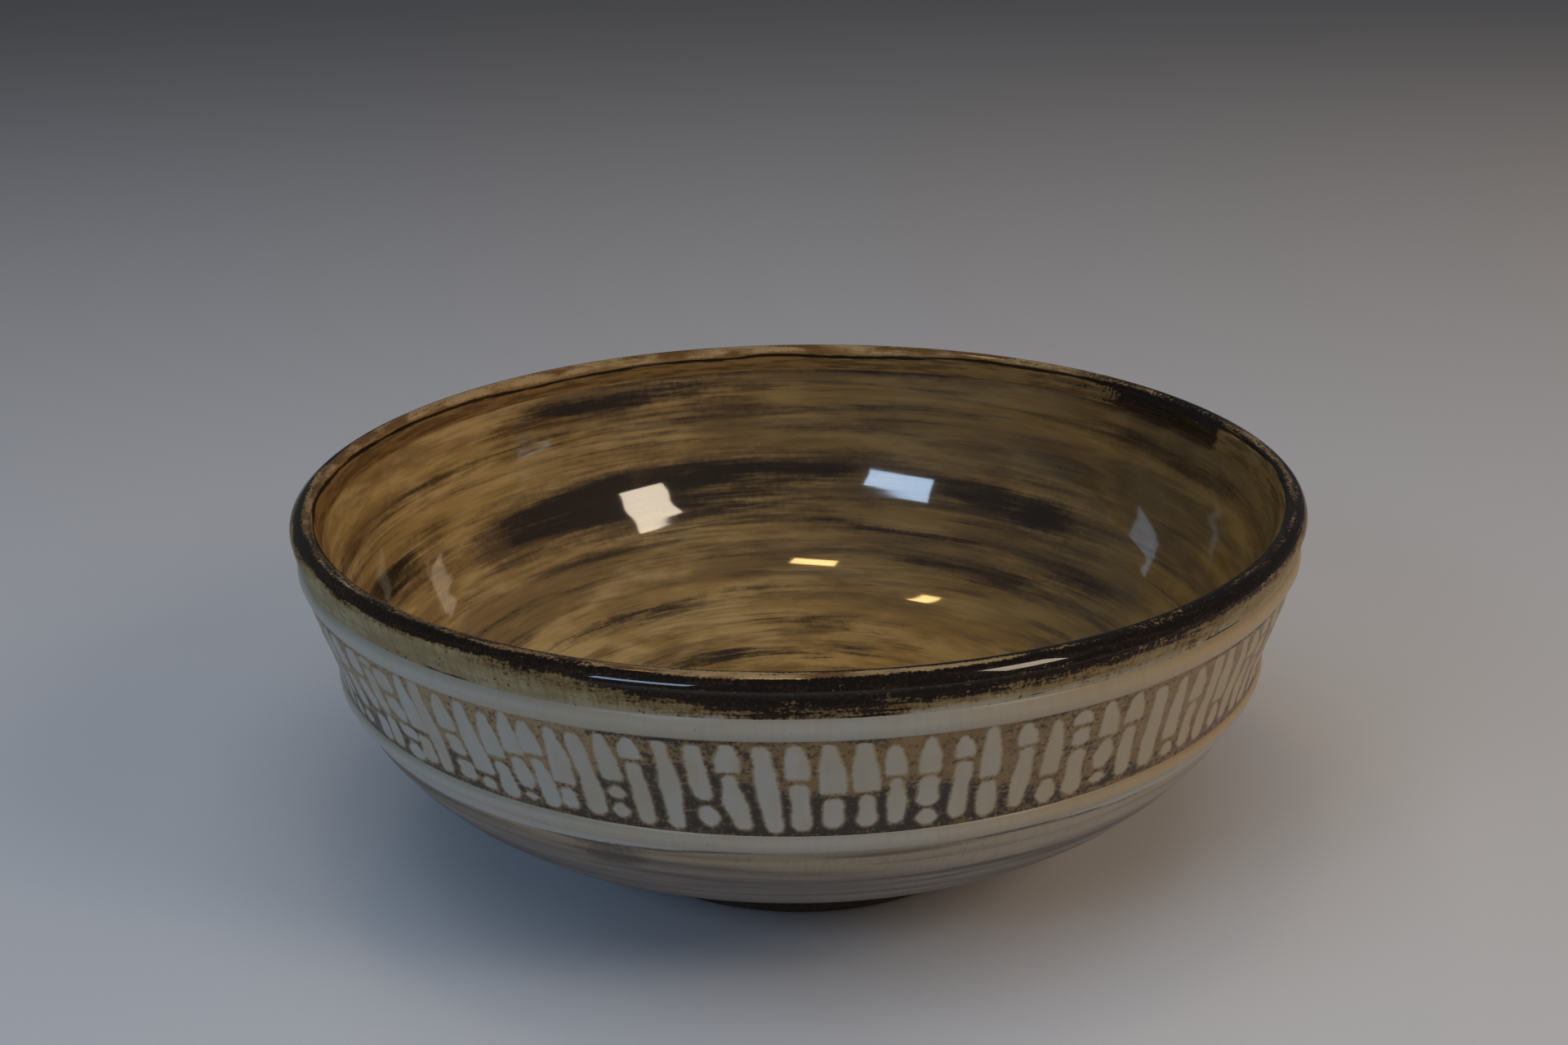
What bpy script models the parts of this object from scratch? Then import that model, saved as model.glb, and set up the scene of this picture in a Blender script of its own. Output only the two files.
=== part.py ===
"""Hand-thrown stoneware serving bowl, built the way a potter puts it together.

Units are metres, +Z is up, the foot rests on z = 0 and the axis of the bowl is
the Z axis.  Every piece is a solid of revolution drawn as a closed outline of
(radius, height) points and turned in SEGMENTS steps, so that pieces that sit
against each other share their facets and keep an even fitting gap.
"""

import math

import bmesh
import bpy

# ---------------------------------------------------------------- dimensions
RIM_RADIUS = 0.1600        # widest point of the rolled lip
HEIGHT = 0.1210            # top of the lip above the table
LIP_THICKNESS = 0.0086     # across the rolled lip
LIP_CENTRE_Z = HEIGHT - LIP_THICKNESS / 2
FOOT_RADIUS = 0.0700       # outside of the foot ring
FOOT_WIDTH = 0.0090        # across the foot ring at the table
FOOT_HEIGHT = 0.0090       # table to the underside of the body
FLOOR_THICKNESS = 0.0066   # clay at the middle of the bowl
FITTING_GAP = 0.0003       # clearance between neighbouring pieces
SLIP_THICKNESS = 0.0007    # brushed slip coat on the decorated band
GLAZE_THICKNESS = 0.0009   # poured glaze coat inside
SEGMENTS = 60              # facets round the axis

# Outside of the clay wall, foot plate to collar, as (radius, height).
WALL_OUTSIDE = [
    (0.0715, 0.0093), (0.0860, 0.0161), (0.1000, 0.0230), (0.1130, 0.0299),
    (0.1245, 0.0366), (0.1335, 0.0450), (0.1402, 0.0530), (0.1452, 0.0610),
    (0.1475, 0.0660), (0.1484, 0.0725), (0.1503, 0.0810), (0.1528, 0.0890),
    (0.1552, 0.0970), (0.1567, 0.1034), (0.1575, 0.1095), (0.1587, 0.1130),
]

# Inside of the clay wall, collar to the middle of the floor.
WALL_INSIDE = [
    (0.1522, 0.1130), (0.1504, 0.1050), (0.1477, 0.0930), (0.1442, 0.0810),
    (0.1398, 0.0690), (0.1338, 0.0580), (0.1257, 0.0472), (0.1140, 0.0372),
    (0.0980, 0.0290), (0.0780, 0.0222), (0.0500, 0.0176), (0.0200, 0.0161),
]

# Heights of the raised cordons above and below the decorated band.
UPPER_CORDON = (0.1036, 0.1094)
LOWER_CORDON = (0.0662, 0.0722)
CORDON_PROUD = 0.0026      # how far a cordon stands out from the wall


# ------------------------------------------------------------------- helpers
def clear_scene():
    """Remove whatever the start-up file holds."""
    for obj in list(bpy.data.objects):
        bpy.data.objects.remove(obj, do_unlink=True)


def make_material(name, colour, roughness, coat=0.0):
    """One plain Principled material for one piece."""
    mat = bpy.data.materials.new(name)
    mat.use_nodes = True
    shader = mat.node_tree.nodes["Principled BSDF"]
    shader.inputs["Base Color"].default_value = (*colour, 1.0)
    shader.inputs["Roughness"].default_value = roughness
    shader.inputs["Coat Weight"].default_value = coat
    return mat


def turn(name, outline, material):
    """Turn a closed (radius, height) outline round Z into one closed body.

    A point on the axis becomes a single pole vertex; every other point
    becomes a ring of SEGMENTS vertices.
    """
    bm = bmesh.new()
    rings = []
    for radius, height in outline:
        if radius < 1e-6:
            rings.append([bm.verts.new((0.0, 0.0, height))])
            continue
        step = 2 * math.pi / SEGMENTS
        rings.append([bm.verts.new((radius * math.cos(i * step),
                                    radius * math.sin(i * step), height))
                      for i in range(SEGMENTS)])
    for near, far in zip(rings, rings[1:] + rings[:1]):
        join_rings(bm, near, far)
    bmesh.ops.recalc_face_normals(bm, faces=bm.faces[:])
    mesh = bpy.data.meshes.new(name)
    bm.to_mesh(mesh)
    bm.free()
    mesh.materials.append(material)
    obj = bpy.data.objects.new(name, mesh)
    bpy.context.scene.collection.objects.link(obj)
    return obj


def join_rings(bm, near, far):
    """Fill the strip between two neighbouring rings, or a ring and a pole."""
    if len(near) == 1 and len(far) == 1:
        return
    for i in range(SEGMENTS):
        j = (i + 1) % SEGMENTS
        if len(near) == 1:
            bm.faces.new((near[0], far[i], far[j]))
        elif len(far) == 1:
            bm.faces.new((near[j], near[i], far[0]))
        else:
            bm.faces.new((near[i], far[i], far[j], near[j]))


def radius_at(profile, height):
    """Radius of an outline at a height, straight between its points."""
    points = sorted(profile, key=lambda p: p[1])
    for (r0, z0), (r1, z1) in zip(points, points[1:]):
        if z0 <= height <= z1:
            return r0 + (r1 - r0) * (height - z0) / (z1 - z0)
    return points[-1][0]


def heights_between(profile, low, high):
    """The outline's own heights strictly between two limits, rising."""
    return sorted(z for _, z in profile if low + 1e-5 < z < high - 1e-5)


def offset_curve(points, distance):
    """Shift an open run of points sideways, to the left of its direction."""
    shifted = []
    for i, (r, z) in enumerate(points):
        r0, z0 = points[max(i - 1, 0)]
        r1, z1 = points[min(i + 1, len(points) - 1)]
        length = math.hypot(r1 - r0, z1 - z0)
        shifted.append((r - distance * (z1 - z0) / length,
                        z + distance * (r1 - r0) / length))
    return shifted


# -------------------------------------------------------------------- pieces
def build_body():
    """Thrown shell: foot plate, curved wall and upright collar."""
    floor_top = WALL_OUTSIDE[0][1] + FLOOR_THICKNESS
    outline = [(0.0, WALL_OUTSIDE[0][1])]
    outline += WALL_OUTSIDE
    outline += WALL_INSIDE
    outline += [(0.0, floor_top)]
    clay = make_material("stoneware_clay", (0.27, 0.20, 0.13), 0.62)
    return turn("bowl_body", outline, clay)


def build_foot_ring():
    """Turned foot ring, left bare, with eased edges on its resting face."""
    outer, inner = FOOT_RADIUS, FOOT_RADIUS - FOOT_WIDTH
    top = FOOT_HEIGHT
    ease = 0.0012
    outline = [
        (inner + ease, 0.0), (outer - ease, 0.0), (outer, ease),
        (outer + 0.0013, top), (inner - 0.0013, top), (inner, ease),
    ]
    bare = make_material("bare_foot_clay", (0.33, 0.22, 0.14), 0.80)
    return turn("foot_ring", outline, bare)


def build_lip():
    """Rolled lip: a rounded bead that caps the top of the collar."""
    seat = WALL_OUTSIDE[-1][1] + FITTING_GAP
    radius = LIP_THICKNESS / 2
    centre_r = RIM_RADIUS - radius
    arc = []
    for k in range(9):
        angle = math.pi * k / 8
        arc.append((centre_r + radius * math.cos(angle),
                    LIP_CENTRE_Z + radius * math.sin(angle)))
    outer_foot = (WALL_OUTSIDE[-1][0] + 0.0002, seat)
    inner_foot = (WALL_INSIDE[0][0] - 0.0006, seat)
    slip = make_material("iron_slip_rim", (0.035, 0.022, 0.014), 0.22, 0.5)
    return turn("rim_lip", [outer_foot] + arc + [inner_foot], slip)


def build_cordon(name, span, material):
    """Applied coil smoothed into a half-round ridge round the wall."""
    low, high = span
    middle, half = (low + high) / 2, (high - low) / 2
    back = [low] + heights_between(WALL_OUTSIDE, low, high) + [high]
    outline = [(radius_at(WALL_OUTSIDE, z) + FITTING_GAP, z)
               for z in reversed(back)]
    for k in range(5):
        angle = -math.pi / 2 + math.pi * k / 4
        z = middle + half * math.sin(angle)
        proud = FITTING_GAP + 0.0010
        proud += (CORDON_PROUD - proud) * math.cos(angle)
        outline.append((radius_at(WALL_OUTSIDE, z) + proud, z))
    return turn(name, outline, material)


def build_band_slip():
    """Brushed slip coat between the cordons, over the clay wall."""
    low = LOWER_CORDON[1] + FITTING_GAP
    high = UPPER_CORDON[0] - FITTING_GAP
    rise = [low] + heights_between(WALL_OUTSIDE, low, high) + [high]
    inner = [(radius_at(WALL_OUTSIDE, z) + FITTING_GAP, z) for z in rise]
    outer = [(r + SLIP_THICKNESS, z) for r, z in inner]
    slip = make_material("band_slip", (0.22, 0.17, 0.11), 0.45, 0.2)
    return turn("band_slip", inner + outer[::-1], slip)


def build_inner_glaze():
    """Poured glaze coat that lines the inside and stops short of the lip."""
    edge = WALL_INSIDE[0][1] - 2 * FITTING_GAP
    clay = [(radius_at(WALL_INSIDE, edge), edge)] + WALL_INSIDE[1:]
    clay += [(0.0, WALL_OUTSIDE[0][1] + FLOOR_THICKNESS)]
    back = offset_curve(clay, -FITTING_GAP * 1.4)
    face = offset_curve(clay, -FITTING_GAP * 1.4 - GLAZE_THICKNESS)
    back[-1] = (0.0, back[-1][1])
    face[-1] = (0.0, face[-1][1])
    glaze = make_material("inner_glaze", (0.36, 0.22, 0.08), 0.12, 0.6)
    return turn("inner_glaze", back + face[::-1], glaze)


def main():
    clear_scene()
    build_body()
    build_foot_ring()
    build_lip()
    cordon = make_material("upper_cordon_slip", (0.50, 0.44, 0.34), 0.40, 0.2)
    build_cordon("upper_cordon", UPPER_CORDON, cordon)
    cordon = make_material("lower_cordon_slip", (0.50, 0.44, 0.34), 0.40, 0.2)
    build_cordon("lower_cordon", LOWER_CORDON, cordon)
    build_band_slip()
    build_inner_glaze()


main()
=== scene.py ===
"""Visual model of a hand-thrown stoneware bowl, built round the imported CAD.

The bowl stands on its foot ring at the origin with +Z up, and its front faces
-Y.  Angles round the axis are in degrees in the tables: 0 is the front, and
they grow towards the right.  Profiles are (radius, height) in millimetres.
Every piece is a closed turned solid: a detailed front surface and a plain
back a little inside it.
"""
import math

import bpy
import numpy as np
from mathutils import Matrix


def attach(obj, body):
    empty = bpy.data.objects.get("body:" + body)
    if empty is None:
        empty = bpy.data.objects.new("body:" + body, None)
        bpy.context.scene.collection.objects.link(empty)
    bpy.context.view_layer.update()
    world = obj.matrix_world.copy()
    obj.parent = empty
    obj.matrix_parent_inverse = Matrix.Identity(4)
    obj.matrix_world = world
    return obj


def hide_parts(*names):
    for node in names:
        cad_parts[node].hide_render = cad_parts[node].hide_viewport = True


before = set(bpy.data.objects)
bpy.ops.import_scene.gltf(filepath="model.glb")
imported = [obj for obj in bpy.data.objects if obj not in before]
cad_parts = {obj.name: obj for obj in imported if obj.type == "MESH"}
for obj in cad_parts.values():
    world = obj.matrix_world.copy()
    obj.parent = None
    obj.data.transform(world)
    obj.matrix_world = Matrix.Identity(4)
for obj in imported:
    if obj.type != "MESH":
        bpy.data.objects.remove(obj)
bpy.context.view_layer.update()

MM = 0.001
RIM_Z = 121.0                    # top of the lip, mm
LAY_RADIUS = 0.15                # radius of the drum that "lay" is wound on, m

# ------------------------------------------------------------------ profiles
WALL = [(71.5, 9.3), (86.0, 16.1), (100.0, 23.0), (113.0, 29.9),
        (124.5, 36.8), (133.6, 45.0), (140.2, 53.0), (145.0, 61.0),
        (147.6, 66.2), (148.9, 72.2), (151.0, 81.0), (153.6, 89.0),
        (156.0, 97.0), (157.4, 103.6), (158.0, 109.4), (158.7, 112.0)]
COLLAR_AND_LIP = [
    (157.8, 108.0), (158.2, 110.4), (158.7, 112.0), (159.3, 113.7),
    (159.8, 115.4), (160.0, 117.0), (159.6, 118.7), (158.4, 120.1),
    (156.7, 120.9), (155.0, 120.9), (153.4, 120.1), (152.2, 118.6),
    (151.5, 116.6), (151.1, 114.4), (150.7, 112.4)]
INSIDE = [(150.7, 112.6), (149.1, 105.0), (146.4, 93.0), (142.9, 81.0),
          (138.4, 69.6), (132.5, 58.8), (124.6, 48.4), (113.2, 38.7),
          (97.4, 30.4), (77.6, 23.7), (50.0, 18.9), (20.0, 17.4), (0.0, 17.2)]
FOOT = [(59.4, 9.6), (60.1, 6.0), (60.6, 2.4), (61.1, 0.8), (62.2, 0.0),
        (65.5, 0.0), (68.6, 0.0), (69.6, 0.7), (70.1, 2.2), (70.6, 5.5),
        (71.6, 9.6)]
FOOT_PLATE = [(0.0, 8.9), (20.0, 9.0), (45.0, 9.2), (60.0, 9.3), (71.4, 9.3)]

LOWER_RIDGE = (65.0, 70.9)       # heights between which a cordon stands proud
UPPER_RIDGE = (102.3, 109.0)
RIDGE_PROUD = 1.25
RIDGE_FULLNESS = 0.8             # under 1 squares the ridge's back a little
TUCK = 0.9                       # how far a piece runs on under its neighbour
TUCK_SLOPE = 3.0                 # and how steeply it dives there
ON_AXIS = 1e-6                   # a radius under this is a point on the axis


def length_along(line):
    steps = np.hypot(*np.diff(line, axis=0).T)
    return np.concatenate([[0.0], np.cumsum(steps)])


def resample(line, spacing):
    """Even steps along a polyline, with its two ends kept."""
    at = length_along(line)
    to = np.linspace(0, at[-1], max(3, int(round(at[-1] / spacing)) + 1))
    return np.stack([np.interp(to, at, line[:, k]) for k in (0, 1)], 1)


def spline(points, spacing):
    """Smooth curve through points, resampled at an even spacing in mm."""
    p = np.array(points, float)
    at = length_along(p)
    slope = np.gradient(p, at, axis=0)
    out = []
    for i, gap in enumerate(np.diff(at)):
        t = np.linspace(0, 1, max(4, int(gap / 0.2)), endpoint=False)[:, None]
        out.append((2 * t**3 - 3 * t**2 + 1) * p[i]
                   + (t**3 - 2 * t**2 + t) * gap * slope[i]
                   + (3 * t**2 - 2 * t**3) * p[i + 1]
                   + (t**3 - t**2) * gap * slope[i + 1])
    return resample(np.concatenate(out + [p[-1:]]), spacing)


def directions(line):
    d = np.gradient(line, axis=0)
    return d / np.hypot(d[:, 0], d[:, 1])[:, None]


def inward(line, depth):
    """The same run of points, moved into the clay on its left."""
    d = directions(line)
    return line + depth * np.stack([-d[:, 1], d[:, 0]], 1)


WALL_LINE = spline(WALL, 0.25)


def wall_between(low, high, spacing):
    """Outer surface of the bowl between two heights, without the cordons."""
    z = np.linspace(low, high, int(round((high - low) / spacing)) + 1)
    r = np.interp(z, WALL_LINE[:, 1], WALL_LINE[:, 0])
    return np.stack([r, z], 1)


def ridge(limits, spacing):
    """A cordon: a rounded ridge whose two edges tuck under the wall."""
    low, high = limits
    line = wall_between(low - TUCK, high + TUCK, spacing)
    x = (2 * line[:, 1] - low - high) / (high - low)       # -1 to 1 on it
    back = np.cos(np.clip(x, -1, 1) * np.pi / 2)
    line[:, 0] += RIDGE_PROUD * back ** RIDGE_FULLNESS
    line[:, 0] -= TUCK_SLOPE * np.clip(np.abs(x) - 0.97, 0, 1)
    return line


# --------------------------------------------------- unevenness of hand work
def smooth(x, low, high):
    t = np.clip((x - low) / (high - low), 0, 1)
    return t * t * (3 - 2 * t)


def around_pot(phi, table):
    """Value at each angle from a table of (degrees, value), closed in a loop."""
    at, value = zip(*table)
    return np.interp(np.degrees(phi), at, value, period=360)


def near_angle(phi, middle, spread):
    """1 at one angle round the pot, falling off over spread degrees."""
    away = (np.degrees(phi) - middle + 180) % 360 - 180
    return np.exp(-0.5 * (away / spread) ** 2)


def wander(phi, seed, low, high, fall=0.7):
    """Smooth noise round the pot, about -1 to 1, that closes on itself."""
    rng = np.random.RandomState(seed)
    total, power = np.zeros_like(phi), 0.0
    for k in range(low, high + 1):
        size = k ** -fall
        total = total + size * np.cos(k * phi + rng.uniform(0, 2 * np.pi))
        power += size * size / 2
    return total / (1.6 * math.sqrt(power))


CORDON_WAVER = 0.35              # mm up and down


def out_of_true(phi, r, z):
    """Slight unevenness of a pot thrown by hand; nothing moves at the foot."""
    lift = np.clip(z / RIM_Z, 0, 1)
    r = r * (1 + lift * (0.0012 * np.cos(2 * phi + 0.6)
                         + 0.0007 * np.cos(3 * phi + 2.0)))
    z = z + lift**2 * (0.30 * np.cos(phi + 2.4) + 0.16 * np.cos(2 * phi + 1.0)
                       + 0.08 * np.cos(5 * phi + 0.3))
    for cordon_z, seed in ((69.0, 11), (106.3, 12)):
        near = np.exp(-((z - cordon_z) / 14.0) ** 2)
        z = z + near * CORDON_WAVER * wander(phi, seed, 1, 7)
    return r, z


def throwing_marks(phi, s, pitch, height, seed):
    """The low spiral that fingers leave in turning clay."""
    rng = np.random.RandomState(seed)
    swell = 0.65 + 0.35 * np.cos(s * 2 * np.pi / 41.0 + rng.uniform(0, 6))
    return height * swell * np.sin(2 * np.pi * s / pitch + phi
                                   + 0.5 * np.sin(phi * 2 + 1.0))


# ---------------------------------------------------------------- mesh maker
STRIP_MARGIN = 0.02              # bare edge of a strip on the bake's square
FRONT_SHARE, BACK_FROM = 0.90, 0.92      # how a strip is shared out


def closed_profile(front, depth):
    """The front, joined up by a plainer back that lies inside the clay."""
    back = inward(resample(front, max(3.0, length_along(front)[-1] / 14)), depth)
    back[:, 0] = np.maximum(back[:, 0], 0)
    for end in (0, -1):
        if front[end, 0] < ON_AXIS:
            back[end, 0] = 0
    return np.concatenate([front, back[::-1]])


def number_points(pole, around):
    """Vertex numbers by row and column; a row on the axis is one vertex."""
    index = np.zeros((len(pole), around), int)
    count = 0
    for row, is_pole in enumerate(pole):
        index[row] = count if is_pole else count + np.arange(around)
        count += 1 if is_pole else around
    return index


def by_vertex(values, pole):
    """Values by row and column, put in the order of the vertex numbers."""
    return np.concatenate([row[:1] if is_pole else row
                           for row, is_pole in zip(values, pole)])


def down_to_back(values, rows):
    """The front's values, with its last row repeated all over the back."""
    return np.concatenate([values, np.repeat(values[-1:], rows - len(values), 0)])


def skin(index, pole, cross, sheets):
    """Faces between the rows, and each corner's place on the bake's square.

    cross is each row's share of a strip's width, and sheets is how many
    strips the turn is cut into.
    """
    rows, around = index.shape
    here = np.arange(around)
    there = (here + 1) % around
    sheet = here * sheets // around
    left = here * sheets / around - sheet
    right = left + sheets / around
    faces, texture = [], []
    for row in range(rows):
        after = (row + 1) % rows
        if pole[row] and pole[after]:
            continue
        corners = [(row, here, left), (row, there, right),
                   (after, there, right), (after, here, left)]
        if pole[row]:
            del corners[1]
        elif pole[after]:
            del corners[2]
        faces += np.stack([index[k][col] for k, col, _ in corners], 1).tolist()
        level = {row: cross[row], after: cross[row + 1]}
        uv = [np.stack([u, (sheet + STRIP_MARGIN
                            + (1 - 2 * STRIP_MARGIN) * level[k]) / sheets], 1)
              for k, _, u in corners]
        texture.append(np.stack(uv, 1).reshape(-1, 2))
    return faces, np.concatenate(texture)


def sharp_edges(mesh, rings):
    """Keep the shading of the front from running round onto the back."""
    ends = np.zeros(len(mesh.edges) * 2, int)
    mesh.edges.foreach_get("vertices", ends)
    sharp = np.zeros(len(mesh.edges), bool)
    for ring in rings:
        sharp |= np.isin(ends.reshape(-1, 2), ring).all(1)
    store = mesh.attributes.new("sharp_edge", "BOOLEAN", "EDGE")
    store.data.foreach_set("value", sharp)


def turned(name, front, around, sheets, relief=None, fields=None, depth=2.5):
    """Turn a profile into a closed piece riding on the bowl's one body.

    front runs with the clay on its left.  relief(phi, s, z) gives how far the
    front stands out, and fields(phi, s, z) gives a dictionary of values kept
    on its vertices; s is the distance along the front.  All are in mm.
    sheets is how many strips the bake's UV layer is cut into, so that a long
    narrow band fills its square.
    """
    line = closed_profile(front, depth)
    rows, rows_front = len(line), len(front)
    pole = line[:, 0] < ON_AXIS
    phi = (np.arange(around) + 0.5) * 2 * np.pi / around
    turn = np.repeat(phi[None], rows, 0)
    r = np.repeat(line[:, :1], around, 1)
    z = np.repeat(line[:, 1:], around, 1)
    at = length_along(front)
    s = np.repeat(at[:, None], around, 1)
    if relief is not None:
        d = directions(front)
        high = relief(turn[:rows_front], s, z[:rows_front])
        high = high * (front[:, :1] > ON_AXIS)
        r[:rows_front] += high * d[:, 1:]
        z[:rows_front] -= high * d[:, :1]
    r, z = out_of_true(turn, r, z)
    r[pole] = 0
    z[pole] = z[pole].mean(1)[:, None]
    z = np.maximum(z, 0)
    points = np.stack([r * np.sin(turn), -r * np.cos(turn), z], -1) * MM

    index = number_points(pole, around)
    cross = np.concatenate([FRONT_SHARE * at / at[-1],
                            np.linspace(BACK_FROM, 1.0, rows - rows_front + 1)])
    faces, texture = skin(index, pole, cross, sheets)
    mesh = bpy.data.meshes.new(name)
    mesh.from_pydata(by_vertex(points, pole).tolist(), [], faces)
    mesh.polygons.foreach_set("use_smooth", [True] * len(mesh.polygons))
    mesh.uv_layers.new(name="OFBake").data.foreach_set("uv", texture.ravel())

    values = {}
    if fields is not None:
        values = fields(turn[:rows_front], s, z[:rows_front])
    for key, value in values.items():
        store = mesh.attributes.new(key, "FLOAT", "POINT")
        store.data.foreach_set("value", by_vertex(down_to_back(value, rows), pole))
    lay = np.stack([LAY_RADIUS * np.cos(turn), LAY_RADIUS * np.sin(turn),
                    down_to_back(s, rows) * MM], -1)
    store = mesh.attributes.new("lay", "FLOAT_VECTOR", "POINT")
    store.data.foreach_set("vector", by_vertex(lay, pole).ravel())
    sharp_edges(mesh, [index[row] for row in (0, rows_front - 1)
                       if not pole[row]])
    mesh.validate()

    piece = bpy.data.objects.new(name, mesh)
    bpy.context.scene.collection.objects.link(piece)
    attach(piece, "root")
    return piece


# ------------------------------------------------------------------ materials
class Glaze:
    """A node material, written as a few short steps."""

    def __init__(self, name, **settings):
        self.material = bpy.data.materials.new(name)
        self.material.use_nodes = True
        self.nodes = self.material.node_tree.nodes
        self.links = self.material.node_tree.links
        self.shader = self.nodes["Principled BSDF"]
        for key, value in settings.items():
            self.set(key.replace("_", " "), value)

    def plug(self, socket, value):
        if isinstance(value, bpy.types.NodeSocket):
            self.links.new(value, socket)
        elif isinstance(value, tuple) and socket.type == "RGBA":
            socket.default_value = value + (1.0,)
        else:
            socket.default_value = value

    def set(self, name, value):
        self.plug(self.shader.inputs[name], value)

    def node(self, kind, inputs, output=0, **options):
        node = self.nodes.new("ShaderNode" + kind)
        for key, value in options.items():
            setattr(node, key, value)
        for key, value in inputs.items():
            self.plug(node.inputs[key], value)
        return node.outputs[output]

    def field(self, name):
        return self.node("Attribute", {}, 2, attribute_name=name)

    def lay(self):
        return self.node("Attribute", {}, 1, attribute_name="lay")

    def math(self, operation, a, b):
        return self.node("Math", {0: a, 1: b}, operation=operation)

    def add(self, a, b):
        return self.math("ADD", a, b)

    def times(self, a, b):
        return self.math("MULTIPLY", a, b)

    def swing(self, noise, size):
        """Noise brought to lie about 0, and scaled."""
        return self.times(self.add(noise, -0.5), size)

    def ramp(self, x, low, high, start=0.0, end=1.0):
        return self.node("MapRange", {"Value": x, "From Min": low,
                                      "From Max": high, "To Min": start,
                                      "To Max": end},
                         interpolation_type="SMOOTHSTEP")

    def noise(self, stretch, detail=3.0, rough=0.55, offset=0.0):
        """Noise on the wound-up surface; stretch is cycles per metre."""
        where = self.node("VectorMath", {0: self.lay(), 1: stretch},
                          operation="MULTIPLY")
        where = self.node("VectorMath", {0: where, 1: (offset,) * 3},
                          operation="ADD")
        return self.node("TexNoise", {"Vector": where, "Scale": 1.0,
                                      "Detail": detail, "Roughness": rough})

    def mix(self, a, b, amount):
        return self.node("Mix", {6: a, 7: b, 0: amount}, 2, data_type="RGBA")

    def bump(self, height, distance_mm, strength=1.0):
        """height is 0 to 1; distance_mm is what a height of 1 stands for."""
        self.set("Normal", self.node("Bump", {"Height": height,
                                              "Distance": distance_mm * MM,
                                              "Strength": strength}))


# Colours are linear RGB.
CREAM = (0.445, 0.432, 0.390)
WARM_CREAM = (0.43, 0.390, 0.310)
TOASTED = (0.47, 0.355, 0.205)
KHAKI = (0.32, 0.250, 0.125)
KHAKI_PALE = (0.42, 0.355, 0.215)
TAN = (0.28, 0.180, 0.078)
DARK = (0.050, 0.038, 0.030)
IRON = (0.034, 0.024, 0.017)
SEPIA = (0.17, 0.11, 0.05)
THIN_SLIP = (0.34, 0.26, 0.15)
BLACK = (0.014, 0.009, 0.0065)


def even(k):
    """Noise as fine one way as the other."""
    return (k, k, k)


def streaks(along, across):
    """Noise drawn out round the pot."""
    return (along, along, across)


def cream_glaze(name):
    """Milky glaze over slip: cool white, warmer where it lies thin."""
    g = Glaze(name, Roughness=0.40, Coat_Weight=0.25, Coat_Roughness=0.25)
    broad = g.ramp(g.noise(streaks(14, 60), 3, 0.6, 3.1), 0.36, 0.68)
    fine = g.ramp(g.noise((520, 520, 90), 2, 0.6, 8.7), 0.40, 0.74)
    colour = g.mix(CREAM, WARM_CREAM, broad)
    colour = g.mix(colour, TOASTED, g.field("toast"))
    colour = g.mix(colour, KHAKI, g.times(fine, 0.16))
    fleck = g.ramp(g.noise(even(900), 1, 0.5, 5.5), 0.74, 0.80)
    colour = g.mix(colour, SEPIA, g.times(fleck, 0.5))
    edge = g.field("edge")
    colour = g.mix(colour, THIN_SLIP, g.times(edge, 0.55))
    g.set("Base Color", colour)
    g.bump(g.noise(even(340), 3, 0.6), 0.10, 0.5)
    return g.material


KHAKI_DEEP, KHAKI_STAIN = (0.24, 0.175, 0.08), (0.19, 0.115, 0.045)
LIP_HONEY, LIP_HONEY_DEEP = (0.30, 0.185, 0.070), (0.16, 0.095, 0.040)
UMBER = (0.042, 0.023, 0.012)
RUBBED, RUBBED_PALE = (0.22, 0.120, 0.045), (0.50, 0.35, 0.18)


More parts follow.
